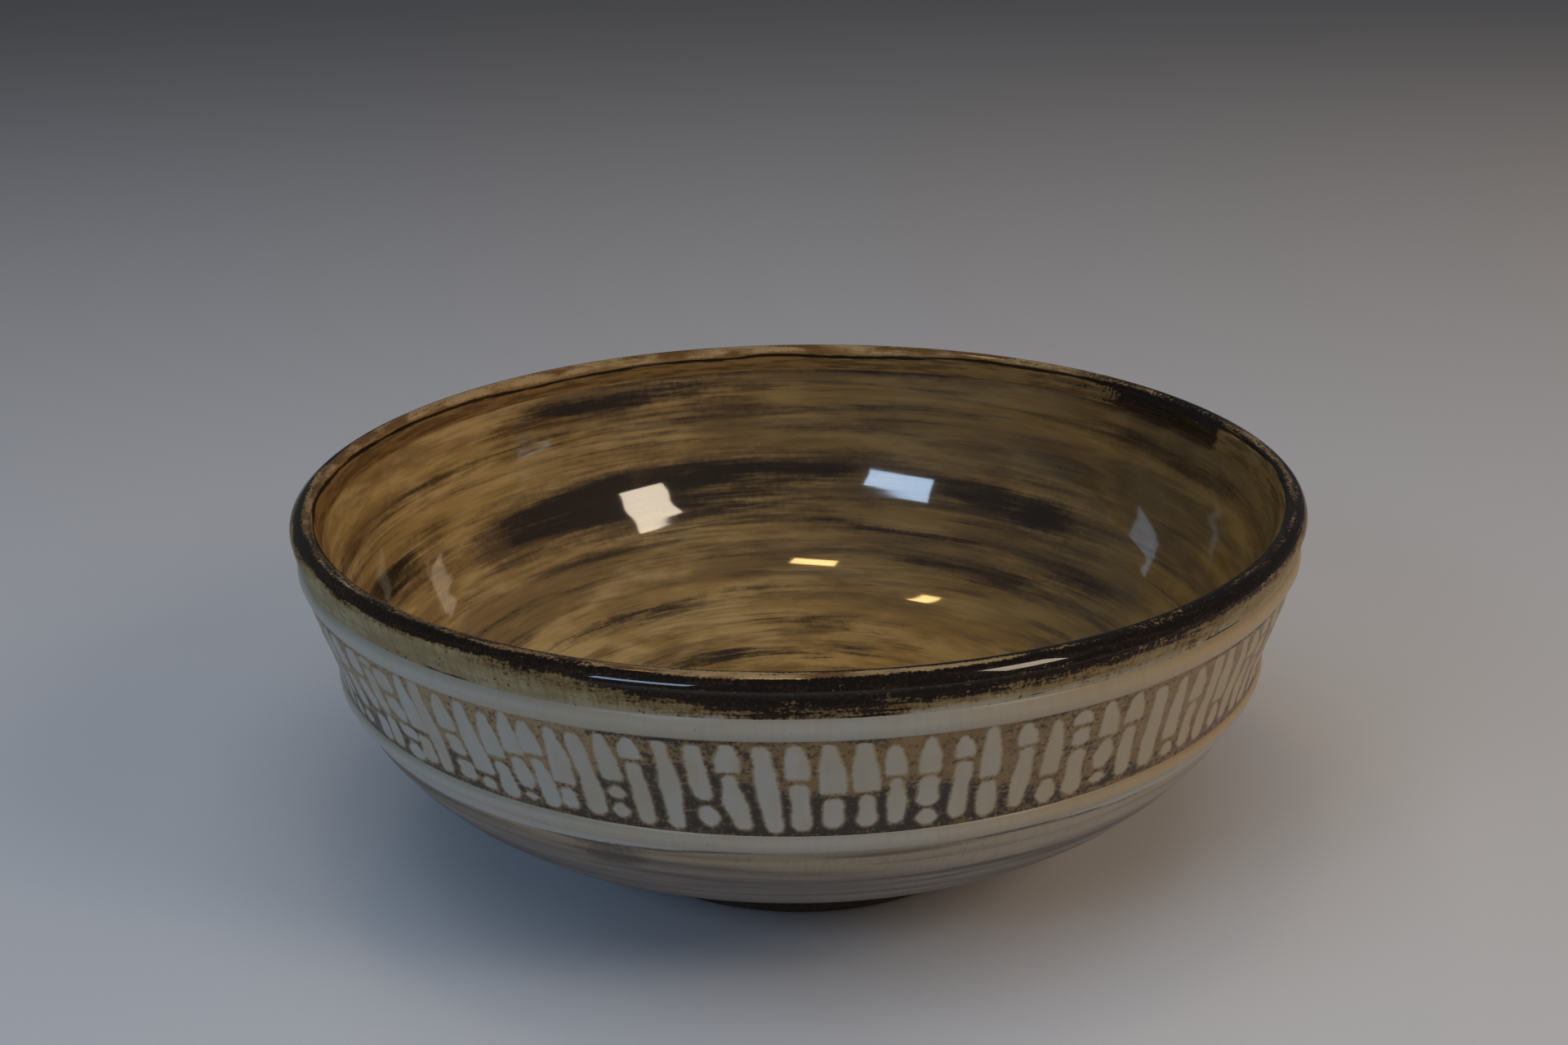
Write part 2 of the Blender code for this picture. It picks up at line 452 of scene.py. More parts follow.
def rim_glaze():
    """Iron slip brushed on the lip, dry at its lower edge, over khaki."""
    g = Glaze("iron_slip_rim", Specular_IOR_Level=0.08, Coat_IOR=1.62)
    slip = g.field("slip")
    worn = g.field("worn")
    inner = g.field("inner")

    pin = g.noise((640, 640, 60), 2, 0.6, 1.3)
    brush = g.noise(streaks(60, 620), 3, 0.6, 6.3)
    grain = g.noise(even(1100), 2, 0.6, 2.2)
    patch = g.noise((55, 55, 160), 3, 0.6, 9.0)
    khaki = g.mix(KHAKI, KHAKI_PALE, g.ramp(patch, 0.38, 0.66))
    khaki = g.mix(khaki, KHAKI_DEEP, g.times(g.ramp(pin, 0.46, 0.70), 0.55))
    khaki = g.mix(khaki, CREAM, g.field("fade"))
    iron = g.ramp(g.noise(even(520), 1, 0.5, 7.7), 0.69, 0.74)
    khaki = g.mix(khaki, DARK, g.times(iron, 0.8))
    honey = g.mix(LIP_HONEY, LIP_HONEY_DEEP, g.ramp(brush, 0.42, 0.62))
    khaki = g.mix(khaki, honey, inner)

    broken = g.add(slip, g.swing(grain, 1.6))
    broken = g.add(broken, g.swing(pin, 0.6))
    broken = g.add(broken, g.swing(brush, 2.0))
    broken = g.add(broken, g.swing(patch, 1.3))
    cover = g.ramp(broken, -0.10, 0.24)
    stain = g.ramp(broken, -0.70, 0.02)
    colour = g.mix(khaki, KHAKI_STAIN, g.times(stain, 0.85))
    umber = g.mix(BLACK, UMBER,
                  g.ramp(g.add(brush, g.swing(grain, 1.2)), 0.46, 0.74))
    colour = g.mix(colour, umber, cover)

    rub = g.add(worn, g.swing(grain, 1.3))
    rub = g.ramp(g.add(rub, g.swing(brush, 1.5)), 0.35, 0.80)
    tan = g.mix(RUBBED, RUBBED_PALE, g.ramp(patch, 0.38, 0.60))
    colour = g.mix(colour, tan, rub)
    line = g.ramp(g.add(g.field("line"), g.swing(brush, 1.2)), 0.32, 0.66)
    colour = g.mix(colour, BLACK, g.times(line, 0.92))
    g.set("Base Color", colour)
    thick = g.times(g.field("roll"), g.add(slip, 0.25))
    g.set("Roughness", g.ramp(cover, 0.0, 1.0, 0.50, 0.34))
    g.set("Coat Weight", g.ramp(thick, 0.0, 0.75, 0.10, 1.0))
    g.set("Coat Roughness", g.ramp(thick, 0.0, 0.7, 0.25, 0.035))
    g.bump(g.add(g.times(grain, 0.45), g.times(cover, 0.4)), 0.10, 0.40)
    return g.material


TAN_DEEP, TAN_PALE = (0.22, 0.14, 0.06), (0.38, 0.28, 0.145)
RUST = (0.13, 0.085, 0.045)
HALO, HALO_DEEP = (0.33, 0.25, 0.13), (0.24, 0.155, 0.065)
HALO_DARK = (0.11, 0.075, 0.045)


def band_glaze():
    """Cream dabs kept clear by wax, on a brushed iron slip ground."""
    g = Glaze("band_slip", Roughness=0.42, Coat_Weight=0.18,
              Coat_Roughness=0.28)
    mark = g.field("mark")            # mm outside the nearest dab
    dark = g.field("dark")
    grain = g.noise(even(900), 2, 0.6, 2.9)
    blotch = g.noise(even(260), 3, 0.6, 6.1)
    pin = g.noise((420, 420, 60), 2, 0.6, 0.4)

    wobble = g.swing(blotch, 1.0)
    wobble = g.add(wobble, g.swing(grain, 0.8))
    edge = g.add(mark, wobble)

    brush = g.noise(streaks(90, 520), 3, 0.6, 4.8)
    ground = g.mix(TAN, TAN_DEEP, g.ramp(blotch, 0.40, 0.64))
    ground = g.mix(ground, TAN_PALE, g.field("pale"))
    iron = g.add(dark, g.swing(grain, 2.4))
    iron = g.add(iron, g.swing(brush, 1.8))
    ground = g.mix(ground, RUST, g.times(g.ramp(iron, 0.06, 0.66), 0.80))
    ground = g.mix(ground, IRON, g.times(g.ramp(iron, 0.40, 0.92), 0.96))
    halo = g.mix(HALO, HALO_DEEP, g.ramp(edge, 0.1, 0.9))
    halo = g.mix(halo, HALO_DARK, g.times(g.ramp(iron, 0.3, 0.9), 0.75))
    cream = g.mix(CREAM, WARM_CREAM, g.ramp(g.noise((80, 80, 40), 2, 0.5, 3.3),
                                            0.40, 0.65))
    cream = g.mix(cream, TOASTED, g.times(g.field("toast"), 0.8))
    cream = g.mix(cream, KHAKI_PALE, g.times(g.ramp(pin, 0.5, 0.72), 0.35))
    colour = g.mix(cream, halo, g.ramp(edge, -0.60, 0.45))
    colour = g.mix(colour, ground, g.ramp(edge, 0.20, 1.15))
    g.set("Base Color", colour)
    g.bump(g.add(g.ramp(edge, -0.6, 0.9, 0.6, 0.0), g.times(grain, 0.3)),
           0.22, 0.6)
    return g.material


UPPER_WALL, UPPER_WALL_PALE = (0.26, 0.19, 0.11), (0.38, 0.31, 0.21)
LOWER_WALL, LOWER_WALL_DEEP = (0.30, 0.255, 0.215), (0.17, 0.14, 0.12)
GREY_SLIP, BRIGHT_SLIP = (0.105, 0.087, 0.080), (0.46, 0.40, 0.31)
DARK_STREAK, PALE_STREAK = (0.085, 0.066, 0.054), (0.42, 0.37, 0.30)
PINSTRIPE, BROWN_LINE = (0.10, 0.075, 0.05), (0.10, 0.075, 0.055)


def wall_glaze():
    """Thin slip brushed on while the pot turned, over buff clay."""
    g = Glaze("stoneware_clay", Roughness=0.46, Coat_Weight=0.12,
              Coat_Roughness=0.3)
    cream = g.field("cream")
    line = g.field("line")
    low = g.field("low")
    smudge = g.field("smudge")
    bands = g.noise(streaks(7, 190), 4, 0.62, 1.9)
    wide = g.noise(streaks(5, 55), 3, 0.6, 7.4)
    pin = g.noise((900, 900, 170), 2, 0.6, 3.8)
    grain = g.noise(even(800), 2, 0.6, 5.2)
    upper = g.mix(UPPER_WALL, UPPER_WALL_PALE, g.ramp(wide, 0.40, 0.60))
    lower = g.mix(LOWER_WALL, LOWER_WALL_DEEP, g.ramp(wide, 0.42, 0.58))
    colour = g.mix(upper, lower, low)
    colour = g.mix(colour, GREY_SLIP, g.field("grey"))
    colour = g.mix(colour, BRIGHT_SLIP, g.field("bright"))
    colour = g.mix(colour, DARK_STREAK, g.times(g.ramp(bands, 0.48, 0.66), 0.82))
    colour = g.mix(colour, PALE_STREAK, g.times(g.ramp(bands, 0.48, 0.30), 0.45))
    colour = g.mix(colour, PINSTRIPE, g.times(g.ramp(pin, 0.46, 0.72), 0.16))
    ragged = g.add(g.swing(grain, 0.8), g.swing(bands, 1.0))
    colour = g.mix(colour, CREAM, g.ramp(g.add(cream, ragged), 0.2, 0.8))
    colour = g.mix(colour, DARK, g.times(
        g.ramp(g.add(smudge, ragged), 0.30, 0.95), 0.7))
    colour = g.mix(colour, BROWN_LINE, g.times(
        g.ramp(g.add(line, g.times(ragged, 0.7)), 0.30, 0.85), 0.85))
    g.set("Base Color", colour)
    g.bump(g.add(g.times(bands, 0.7), g.times(grain, 0.3)), 0.16, 0.5)
    return g.material


# HONEY and HONEY_PALE carry painted warm light: the left side of the inside is
# mixed towards them.
STRAW, STRAW_PALE = (0.54, 0.375, 0.150), (0.70, 0.515, 0.245)
HONEY, HONEY_PALE = (0.48, 0.255, 0.055), (0.63, 0.375, 0.105)
BROWN_WASH = (0.22, 0.130, 0.052)
BROWN_BRUSH, BROWN_HAIR = (0.13, 0.080, 0.034), (0.12, 0.078, 0.034)
# OLIVE_SHADE is painted shade for the right side of the inside, which is turned
# away from the warm key.
OLIVE_SHADE = (0.088, 0.074, 0.048)
STROKE_EDGE, STROKE_HEART = (0.13, 0.078, 0.034), (0.034, 0.021, 0.013)


def inside_glaze():
    """Glossy honey glaze over broad iron strokes laid on the turning pot, with
    painted warm light on the left side and painted shade on the right.
    """
    g = Glaze("inner_glaze", Roughness=0.45, Specular_IOR_Level=0.15,
              Coat_Weight=1.0, Coat_Roughness=0.05, Coat_IOR=2.0)
    smear = g.field("smear")
    brown = g.field("brown")
    painted_warm_light = g.field("painted_warm_light")
    shade = g.field("shade")
    hair = g.noise(streaks(18, 620), 3, 0.65, 2.4)
    brush = g.noise(streaks(9, 165), 4, 0.66, 5.8)
    wide = g.noise(streaks(4, 62), 4, 0.62, 8.2)
    cloud = g.noise((15, 15, 75), 4, 0.65, 1.1)
    grain = g.noise(even(420), 3, 0.6, 3.6)

    straw = g.mix(STRAW, STRAW_PALE, g.ramp(cloud, 0.58, 0.36))
    honey = g.mix(HONEY, HONEY_PALE, g.ramp(cloud, 0.58, 0.36))
    # Painted warm light: the left side of the inside is mixed towards honey.
    colour = g.mix(straw, honey, painted_warm_light)
    colour = g.mix(colour, BROWN_WASH,
                   g.times(g.ramp(g.add(wide, g.swing(cloud, 0.6)),
                                  0.45, 0.64), 0.60))
    colour = g.mix(colour, BROWN_BRUSH, g.times(g.ramp(brush, 0.50, 0.68), 0.55))
    colour = g.mix(colour, BROWN_HAIR, g.times(g.ramp(hair, 0.48, 0.72), 0.26))
    # Painted shade: the right side of the inside goes dark olive.
    colour = g.mix(colour, OLIVE_SHADE,
                   g.times(shade, g.ramp(g.add(brush, g.times(wide, 0.6)),
                                         0.55, 0.90, 0.70, 0.97)))
    ragged = g.add(g.swing(brush, 2.4), g.swing(hair, 1.1))
    ragged = g.add(ragged, g.swing(cloud, 1.0))
    ragged = g.add(ragged, g.swing(grain, 0.5))
    colour = g.mix(colour, STROKE_EDGE, g.times(
        g.ramp(g.add(brown, ragged), 0.10, 1.00), 0.85))
    colour = g.mix(colour, STROKE_HEART, g.times(
        g.ramp(g.add(smear, ragged), 0.12, 1.10), 0.93))
    g.set("Base Color", colour)
    g.bump(g.add(g.times(wide, 0.6), g.times(brush, 0.4)), 0.16, 0.35)
    return g.material


# The foot's clay colours are painted shade, dark enough to stand for the deep
# shadow under the bowl's belly.
FOOT_SHADE_CLAY, FOOT_SHADE_CLAY_DEEP = (0.13, 0.10, 0.075), (0.085, 0.065, 0.048)
TURNING_RING = (0.05, 0.038, 0.028)


def shaded_foot_clay():
    """Unglazed clay with fine rings from the turning tool; its darkness is painted
    shade for the shadow under the bowl.
    """
    g = Glaze("bare_foot_clay", Roughness=0.85, Specular_IOR_Level=0.2)
    grain = g.noise(even(700), 3, 0.65, 1.7)
    rings = g.noise(streaks(4, 700), 2, 0.6, 6.6)
    colour = g.mix(FOOT_SHADE_CLAY, FOOT_SHADE_CLAY_DEEP, g.ramp(grain, 0.40, 0.66))
    colour = g.mix(colour, TURNING_RING, g.times(g.ramp(rings, 0.52, 0.72), 0.5))
    g.set("Base Color", colour)
    g.bump(g.add(g.times(grain, 0.6), g.times(rings, 0.4)), 0.18, 0.7)
    return g.material


# ------------------------------------------------------------------- the rim
# By angle.  The slip is solid down to SLIP_SOLID and gone by SLIP_DRY, in mm
# down the outside from the top of the lip.  It is worn thin along WORN_AT, in
# mm inside the top, over WORN_HALF mm each way and as deep as WORN_DEPTH says.
SLIP_SOLID = [(-150, 4.5), (-120, 3.2), (-90, 3.0), (-60, 3.4), (-45, 4.2),
              (-35, 4.0), (-27, 3.8), (-18, 4.5), (-12, 5.2), (-5, 6.2),
              (3, 6.6), (10, 6.2), (17, 5.6), (25, 5.6), (40, 5.4), (55, 4.6),
              (70, 3.2), (90, 3.0), (120, 4.5), (160, 3.5), (180, 4.0)]
SLIP_DRY = [(-150, 8.0), (-120, 5.0), (-90, 4.2), (-60, 5.0), (-45, 6.2),
            (-33, 6.0), (-25, 8.5), (-15, 12.5), (-8, 13.8), (0, 14.8),
            (8, 14.2), (14, 12.5), (22, 11.5), (35, 12.0), (45, 11.0),
            (58, 8.0), (75, 5.0), (90, 5.0), (120, 7.5), (160, 5.2),
            (180, 6.5)]
WORN_AT = [(-90, 1.4), (-45, 0.3), (0, -1.0), (45, -0.6), (90, 0.0),
           (135, 0.9), (180, 1.8), (-135, 1.7)]
WORN_DEPTH = [(-100, 0.80), (-75, 0.60), (-45, 0.50), (-22, 0.60), (-12, 0.95),
              (14, 1.0), (22, 0.60), (30, 0.34), (60, 0.32), (90, 0.55),
              (130, 0.75), (180, 0.85), (-130, 0.85)]
FADE = [(-180, 0.3), (-30, 0.15), (-16, 0.5), (-8, 0.85), (15, 0.85),
        (30, 0.5), (90, 0.3)]          # how milky the foot of the collar is
WORN_HALF = [(-90, 1.9), (-45, 1.5), (0, 1.5), (20, 1.2), (45, 1.0),
             (90, 1.5), (135, 2.2), (180, 3.2), (-135, 2.8)]


def loaded_stroke(phi):
    """One heavy stroke of slip that runs over the lip to the inside."""
    turn = np.degrees(phi)
    return smooth(turn, 106, 109) * smooth(turn, 141, 116)


def rim_fields(line):
    """Values for the rim, whose line runs up the outside and down the inside."""
    apex = length_along(line)[np.argmax(line[:, 1])]

    def fields(phi, s, z):
        out = apex - s                           # down the outside, mm
        solid = around_pot(phi, SLIP_SOLID)
        dry = around_pot(phi, SLIP_DRY) + 0.7 * wander(phi, 31, 8, 40)
        past = (out - solid) / np.maximum(dry - solid, 1.0)
        slip = 0.44 - 0.90 * np.clip(past, -0.6, 1.5)
        front = near_angle(phi, 4, 13)
        slip = slip + 0.46 * front * smooth(past, -0.1, 0.3) * smooth(
            past, 1.25, 0.8)
        # inside the lip a thin line, and one loaded stroke that thins out
        inner = -out
        heavy = loaded_stroke(phi)
        slip = np.where(inner > 0, 0.55 - 1.2 * smooth(inner, 1.5, 3.6)
                        + 1.9 * heavy * smooth(inner, 2.0, 3.4), slip)
        worn_at = around_pot(phi, WORN_AT)
        half = around_pot(phi, WORN_HALF) * (1 + 0.25 * wander(phi, 33, 3, 24))
        worn = smooth(np.abs(inner - worn_at), half + 0.9, half - 0.9)
        worn = worn * around_pot(phi, WORN_DEPTH) * (1 - 0.5 * heavy)
        fade = smooth(z, 111.0, 108.8) * around_pot(phi, FADE)
        line_low = 0.55 * np.exp(-((z - 109.5) / 0.40) ** 2) * smooth(
            wander(phi, 34, 5, 30), -0.1, 0.6)
        inside_line = 0.8 * np.exp(-((inner - worn_at - half - 0.9) / 0.8) ** 2)
        return {"slip": slip, "worn": worn, "fade": fade,
                "inner": smooth(inner, 1.2, 3.4),
                "roll": np.where(inner > 0, 1.0, smooth(z, 115.4, 118.2)),
                "line": np.maximum(line_low, inside_line)}
    return fields


rim_line = spline(COLLAR_AND_LIP, 0.46)
rim = turned("rim", rim_line, around=1080, sheets=8,
             relief=lambda phi, s, z: 0.07 * np.sin(s * 1.5 + phi)
             * smooth(z, 108, 111),
             fields=rim_fields(rim_line))
rim.data.materials.append(rim_glaze())
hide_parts("rim_lip")


# --------------------------------------------------------------- the cordons
# By angle: how warm the milky glaze fired, and how thin it runs at the edges
# of the upper and of the lower cordon.
TOAST = [(-180, 0.35), (-120, 0.1), (-40, 0.0), (5, 0.08), (22, 0.45),
         (45, 0.9), (90, 0.9), (140, 0.5)]
THIN_UPPER = [(-180, 0.7), (-60, 0.9), (-28, 0.9), (-16, 0.35), (-8, 0.0),
              (12, 0.05), (24, 0.5), (50, 0.6), (120, 0.7)]
THIN_LOWER = [(-180, 0.4), (-60, 0.5), (-20, 0.3), (0, 0.1), (30, 0.2),
              (90, 0.4)]


def cordon(name, limits, seed, node, thinning):
    """Make one cordon between two heights, in milky glaze."""
    line = ridge(limits, 0.5)
    low, high = limits

    def relief(phi, s, z):
        swell = 0.10 * wander(phi, seed, 3, 14) + 0.05 * wander(
            phi, seed + 1, 20, 60)
        x = np.clip((2 * z - low - high) / (high - low), -1, 1)
        return swell * np.cos(x * np.pi / 2)

    def fields(phi, s, z):
        thin = around_pot(phi, thinning)
        upper = smooth(z, high - 0.6 - 2.4 * thin, high - 0.4)
        lower = smooth(z, low + 0.5 + 0.8 * thin, low)
        patchy = smooth(wander(phi, seed + 2, 4, 26), -0.5, 0.9)
        edge = np.maximum(upper * (0.45 + 0.55 * thin), 0.8 * lower)
        return {"edge": edge * (0.55 + 0.45 * patchy),
                "toast": around_pot(phi, TOAST)}

    piece = turned(name, line, around=720, sheets=12, relief=relief,
                   fields=fields, depth=2.2)
    piece.data.materials.append(cream_glaze(node + "_slip"))
    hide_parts(node)


cordon("cordon_upper", UPPER_RIDGE, 41, "upper_cordon", THIN_UPPER)
cordon("cordon_lower", LOWER_RIDGE, 51, "lower_cordon", THIN_LOWER)

# ------------------------------------------------------------- the dabbed band
# A dab is a column of blobs, each from one height to another, as fractions
# of the band from its top.  FRONT gives the columns seen from the front:
# the angle at mid height, the fractions at which the column breaks, and the
# half width in mm.
FRONT = [
    (-58.0, (0.36, 0.80), 3.6), (-53.6, (0.30, 0.68), 3.6),
    (-50.6, (0.10, 0.62), 3.0), (-47.3, (0.30, 0.60, 0.80), 4.0),
    (-44.2, (0.62,), 3.2), (-41.6, (), 3.0), (-38.2, (0.42, 0.72), 3.2),
    (-35.2, (0.82,), 3.0), (-32.3, (0.57,), 3.1), (-29.6, (0.46, 0.85), 3.0),
    (-27.1, (0.42,), 3.0), (-24.5, (0.70,), 2.9), (-21.7, (), 2.9),
    (-18.9, (0.56, 0.77), 2.9), (-16.2, (0.27,), 2.9), (-13.0, (), 3.1),
    (-9.8, (0.69,), 3.1), (-6.6, (0.34,), 3.2), (-3.3, (), 3.1),
    (-0.3, (0.42,), 3.0), (2.9, (0.60,), 3.5), (6.2, (0.58,), 3.3),
    (9.1, (0.42,), 3.0), (12.4, (0.43, 0.80), 3.2), (15.7, (0.30,), 3.1),
    (18.6, (0.58,), 3.1), (22.2, (0.28,), 3.1), (25.5, (0.70,), 3.1),
    (28.6, (0.20, 0.45), 3.0), (32.0, (0.42, 0.80), 3.2),
    (35.3, (0.37,), 3.1), (38.8, (), 3.1), (42.2, (0.78,), 3.0),
    (45.2, (0.43,), 2.9), (48.2, (), 3.0), (51.0, (0.66,), 2.9),
    (54.0, (), 2.9), (57.0, (0.35,), 3.0)]
BREAKS = [(), (), (0.3,), (0.58,), (0.7,), (0.43,), (0.43, 0.78), (0.28,),
          (0.8,), (0.2, 0.45)]
DAB_PITCH = 3.15                 # degrees between hidden columns
DABS_TOP, DABS_BOTTOM = 101.9, 71.9
BAND_RADIUS = 154.0              # mean radius of the band, mm
GAP_HALF = 0.68                  # half the height of a break, mm
LINE_COVER = 5.0                 # mm of dab that the line along the top hides
# By angle: how far a dab leans from top to foot, in mm to the right; where
# the dark slip starts, as a fraction of the band from its top, and how dark it
# is; how pale the ground above it is; how full the dabs are; and how much of
# the line along the top there is.
LEAN = [(-90, 3.2), (-40, 3.4), (-15, 2.8), (-10, 3.7), (-3.3, 4.0),
        (0, 1.7), (9, 0.8), (15, 1.2), (30, 2.0), (60, 3.0), (90, 2.5),
        (180, 2.4)]
DARK_FROM = [(-90, 0.60), (-45, 0.60), (-28, 0.62), (-20, 0.46), (-12, 0.26),
             (-6, 0.38), (0, 0.52), (10, 0.52), (16, 0.52), (20, 0.70),
             (30, 0.74), (45, 0.80), (90, 0.65), (180, 0.55)]
PALE_GROUND = [(-180, 0.3), (-70, 0.4), (-50, 0.75), (-22, 0.8), (-14, 0.3),
               (-8, 0.0), (12, 0.0), (26, 0.25), (60, 0.4), (100, 0.3)]
FULLNESS = [(-180, 0.92), (-70, 0.98), (-50, 1.06), (-22, 1.04), (-12, 0.92),
            (20, 0.90), (40, 0.95), (90, 0.92)]
DARK_DEPTH = [(-90, 0.65), (-45, 0.80), (-30, 0.66), (-18, 0.86), (0, 1.0),
              (14, 1.0), (19, 0.72), (28, 0.55), (45, 0.42), (90, 0.5),
              (180, 0.8)]
TOP_LINE = [(-180, 0), (-25, -0.4), (-12, 1.2), (8, 1.4), (16, 0.1),
            (30, 0.3), (60, 0.0)]


def dab_columns():
    """All columns round the pot, as (degrees, breaks, half width)."""
    rng = np.random.RandomState(7)
    columns = list(FRONT)
    start, stop = FRONT[-1][0] + DAB_PITCH, FRONT[0][0] + 360 - DAB_PITCH
    count = int(round((stop - start) / DAB_PITCH)) + 1
    for at in np.linspace(start, stop, count):
        columns.append((at + rng.uniform(-0.25, 0.25),
                        BREAKS[rng.randint(len(BREAKS))],
                        rng.uniform(2.8, 3.4)))
    return columns


def distance_to_dabs(phi, z):
    """Signed distance in mm to the nearest dab, negative on one."""
    rng = np.random.RandomState(19)
    best = np.full(phi.shape, 9.0)
    height = DABS_TOP - DABS_BOTTOM
    drop = (DABS_TOP - z) / height
    lean = around_pot(phi, LEAN)
    for at, breaks, half in dab_columns():
        bow = rng.uniform(-0.8, 0.8)
        phase = rng.uniform(0, 2 * np.pi)
        top, bottom = rng.uniform(-0.02, 0.07), rng.uniform(0.94, 1.0)
        x = (phi - math.radians(at) + np.pi) % (2 * np.pi) - np.pi
        x = x * BAND_RADIUS - lean * (drop - 0.5)
        half = half * around_pot(phi, FULLNESS)
        x = x + bow * np.sin(drop * 5.0 + phase)
        near = np.abs(x) < 9
        stops = [top] + list(breaks) + [bottom]
        for k in range(len(stops) - 1):
            gap = GAP_HALF * rng.uniform(0.7, 1.5) / height
            low = stops[k] + (gap if k else 0)
            high = stops[k + 1] - (gap if k < len(stops) - 2 else 0)
            bell = bool(breaks) and k == 0 and rng.uniform() < 0.92
            grow = rng.uniform(0.90, 1.08)
            t = np.clip((drop - low) / (high - low), 0, 1)
            shoulder = rng.uniform(0.46, 0.62) if bell else rng.uniform(
                0.58, 0.86)
            waist = 0.0 if bell else rng.uniform(-0.14, 0.16)
            shape = shoulder + (1 - shoulder) * smooth(t, 0.0, 0.62)
            shape = shape + waist * np.sin(3 * np.pi * t)
            shape = shape + (0.12 * t if bell else -0.10 * smooth(t, 0.6, 1.0))
            width = half * grow * shape
            end = np.where(t > 0.5, 1.0 if bell else 2.3, 1.7)
            across = np.abs(x) - width + end
            along = np.abs(drop - (low + high) / 2) * height - (
                high - low) * height / 2 + end
            d = np.hypot(np.maximum(across, 0), np.maximum(along, 0))
            d = d + np.minimum(np.maximum(across, along), 0) - end
            best = np.where(near & (d < best), d, best)
    return best


def band_fields(phi, s, z):
    """Values for the band: the dabs, the dark slip and the pale ground."""
    drop = (DABS_TOP - z) / (DABS_TOP - DABS_BOTTOM)
    dark_from = around_pot(phi, DARK_FROM) + 0.07 * wander(phi, 61, 9, 60)
    depth = around_pot(phi, DARK_DEPTH)
    dark = depth * smooth(drop, dark_from - 0.10, dark_from + 0.12)
    dark = np.maximum(dark, 0.50 * near_angle(phi, -10, 8))
    dark = np.maximum(dark, 0.16 + 0.12 * wander(phi, 62, 3, 12))
    dark = dark * smooth(drop, 1.16, 0.97)
    top_line = np.exp(-((z - UPPER_RIDGE[0] + 0.3) / 0.55) ** 2)
    top_line = top_line * smooth(
        wander(phi, 63, 3, 22) + around_pot(phi, TOP_LINE), 0.0, 0.9)
    mark = distance_to_dabs(phi, z) + LINE_COVER * top_line
    pale = around_pot(phi, PALE_GROUND) * smooth(drop, 0.75, 0.45)
    return {"mark": mark, "dark": np.maximum(dark, top_line),
            "toast": around_pot(phi, TOAST), "pale": pale}


band_line = wall_between(LOWER_RIDGE[1] - TUCK, UPPER_RIDGE[0] + TUCK, 0.72)
resist_band = turned("resist_band", band_line, around=1344, sheets=9,
                     relief=lambda phi, s, z: throwing_marks(
                         phi, s, pitch=8.5, height=0.10, seed=71),
                     fields=band_fields)
resist_band.data.materials.append(band_glaze())
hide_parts("band_slip")

# ------------------------------------------------------------- the lower wall
# By angle: the height in mm at which the milky glaze ends, and how strong the
# brown line along its end, the grey slip and the bright slip are.
CREAM_ENDS = [(-180, 61.8), (-140, 63.0), (-100, 61.5), (-60, 61.0),
              (-40, 61.6), (-30, 62.2), (-22, 62.8), (-15, 63.6), (-8, 64.6),
              (0, 64.8), (18, 64.8), (25, 64.4), (30, 63.6), (36, 62.6),
              (45, 61.6), (60, 60.8), (90, 61.2), (130, 62.4)]
LINE_DEPTH = [(-180, 0.5), (-60, 0.35), (-35, 0.4), (-22, 1.0), (-14, 0.9),
              (-5, 0.6), (5, 0.7), (15, 0.6), (22, 1.0), (32, 0.9), (45, 0.6),
              (70, 0.4)]
GREY_WALL = [(-180, 0.45), (-90, 0.6), (-40, 0.82), (-15, 0.78), (5, 0.50),
             (22, 0.15), (60, 0.15), (120, 0.3)]
BRIGHT_WALL = [(-180, 0.1), (-10, 0.0), (8, 0.15), (25, 0.55), (60, 0.6),
               (110, 0.3)]


def wall_fields(phi, s, z):
    """Values for the lower wall: where the glaze ends, and its slips."""
    ends = around_pot(phi, CREAM_ENDS) + 0.25 * wander(phi, 81, 6, 30)
    cream = smooth(z, ends - 0.4, ends + 0.6)
    line = around_pot(phi, LINE_DEPTH) * np.exp(-((z - ends + 0.2) / 0.75) ** 2)
    low = smooth(z, 56.5 + 1.8 * wander(phi, 82, 1, 6), 52.0)
    where = (np.degrees(phi) + 21 + 180) % 360 - 180
    smudge = 0.9 * np.exp(-(where / 5.5) ** 2)
    smudge = smudge * smooth(z, 50.0, 56.0) * smooth(z, 65.0, 61.5)
    smudge = smudge + 0.45 * smooth(wander(phi, 83, 2, 9), 0.1, 0.9) * np.exp(
        -((z - 50.0) / 4.0) ** 2)
    streaky = 0.25 * wander(phi + 0.11 * z, 84, 2, 12)
    grey = around_pot(phi, GREY_WALL) * smooth(z, 62.0, 52.0)
    bright = around_pot(phi, BRIGHT_WALL) * smooth(z, 40.0, 50.0)
    return {"cream": cream, "line": line, "low": low, "smudge": smudge,
            "grey": np.clip(grey * (1 + streaky), 0, 1),
            "bright": np.clip(bright * (1 + streaky), 0, 1)}


wall_line = np.concatenate([
    spline(FOOT_PLATE, 3.0)[:-1],
    wall_between(WALL[0][1], LOWER_RIDGE[0] + TUCK, 0.9)])
clay_body = turned("clay_body", wall_line, around=600, sheets=6,
                   relief=lambda phi, s, z: throwing_marks(
                       phi, s, pitch=9.0, height=0.14, seed=72) * smooth(z, 10, 22),
                   fields=wall_fields)
clay_body.data.materials.append(wall_glaze())
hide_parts("bowl_body")

# The foot is painted dark: painted shade under the bowl.
foot = turned("foot", spline(FOOT, 0.8), around=360, sheets=6, depth=1.6,
              relief=lambda phi, s, z: 0.05 * np.sin(s * 2.1 + phi))
foot.data.materials.append(shaded_foot_clay())
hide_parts("foot_ring")

